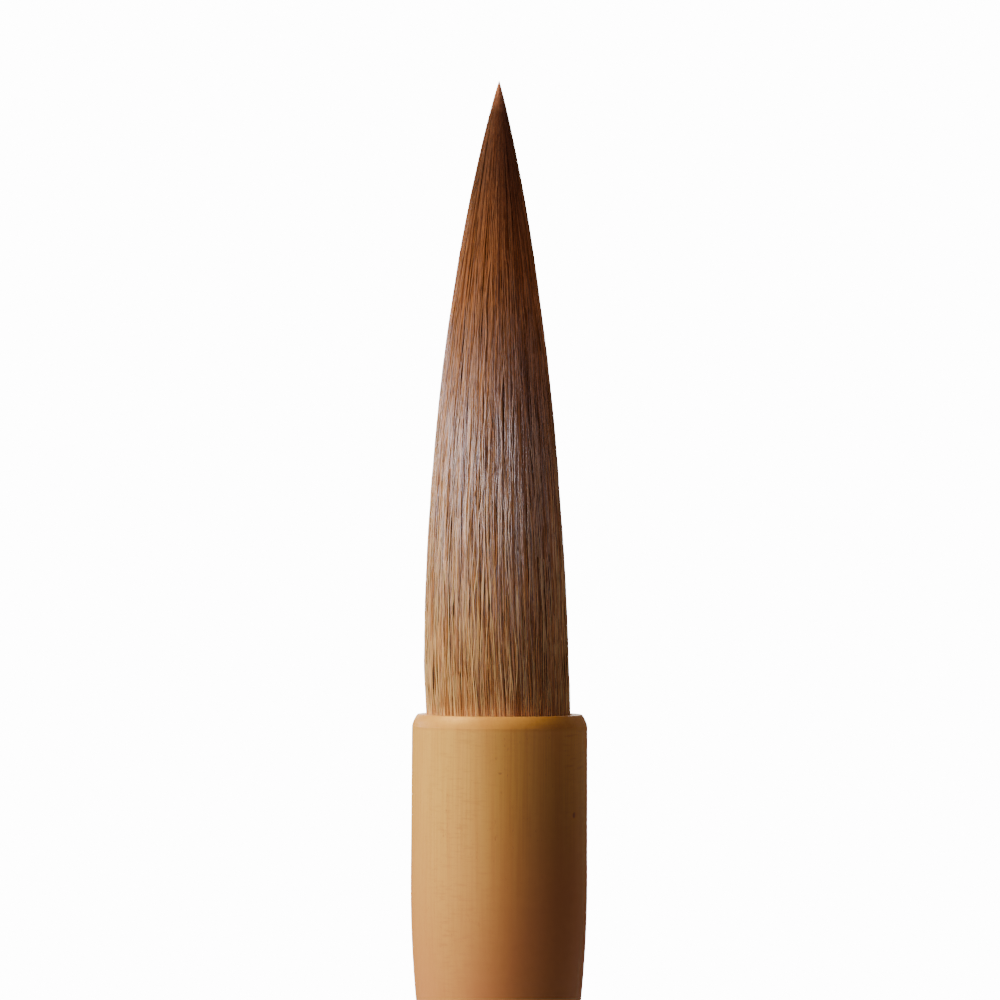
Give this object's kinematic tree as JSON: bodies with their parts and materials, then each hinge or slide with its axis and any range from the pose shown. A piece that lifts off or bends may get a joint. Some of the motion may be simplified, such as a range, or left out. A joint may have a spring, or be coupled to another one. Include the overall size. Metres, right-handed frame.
{
  "type": "calligraphy brush",
  "caption": "Pointed hair tuft that bends in three sprung zones, tied and glued in a full-bodied turned wooden ferrule on a straight wooden shaft with a tail cap.",
  "frame": {"origin": "centre of the tail end's lowest face", "axes": "+Z along the brush from its tail to its hair tip; the tuft bends about +Y, towards +X and -X"},
  "size_m": [0.0148, 0.0146, 0.2494],
  "materials": {
    "ferrule_wood": "satin",
    "shaft_wood": "satin",
    "glue": "satin",
    "seared_hair": "matte",
    "hemp_thread": "matte",
    "core_hair": "satin",
    "cover_hair": "satin"
  },
  "bodies": {
    "handle": {"tail_cap": "shaft_wood", "shaft": "shaft_wood", "ferrule": "ferrule_wood", "glue_bed": "glue", "seared_root": "seared_hair", "binding_thread": "hemp_thread", "waist_core": "core_hair", "waist_cover": "cover_hair"},
    "belly": {"belly_core": "core_hair", "belly_cover": "cover_hair"},
    "throat": {"throat_core": "core_hair", "throat_cover": "cover_hair"},
    "tip": {"tip_core": "core_hair", "tip_cover": "cover_hair"}
  },
  "joints": [
    {"name": "waist_bend", "type": "hinge", "parent": "handle", "child": "belly", "pos_m": [0, 0, 0.20905], "axis": [0, 1, 0], "range_deg": [-20, 20], "stiffness_Nm_per_rad": 0.02},
    {"name": "belly_bend", "type": "hinge", "parent": "belly", "child": "throat", "pos_m": [0, 0, 0.22425], "axis": [0, 1, 0], "range_deg": [-30, 30], "stiffness_Nm_per_rad": 0.008},
    {"name": "throat_bend", "type": "hinge", "parent": "throat", "child": "tip", "pos_m": [0, 0, 0.2384], "axis": [0, 1, 0], "range_deg": [-40, 40], "stiffness_Nm_per_rad": 0.002}
  ]
}
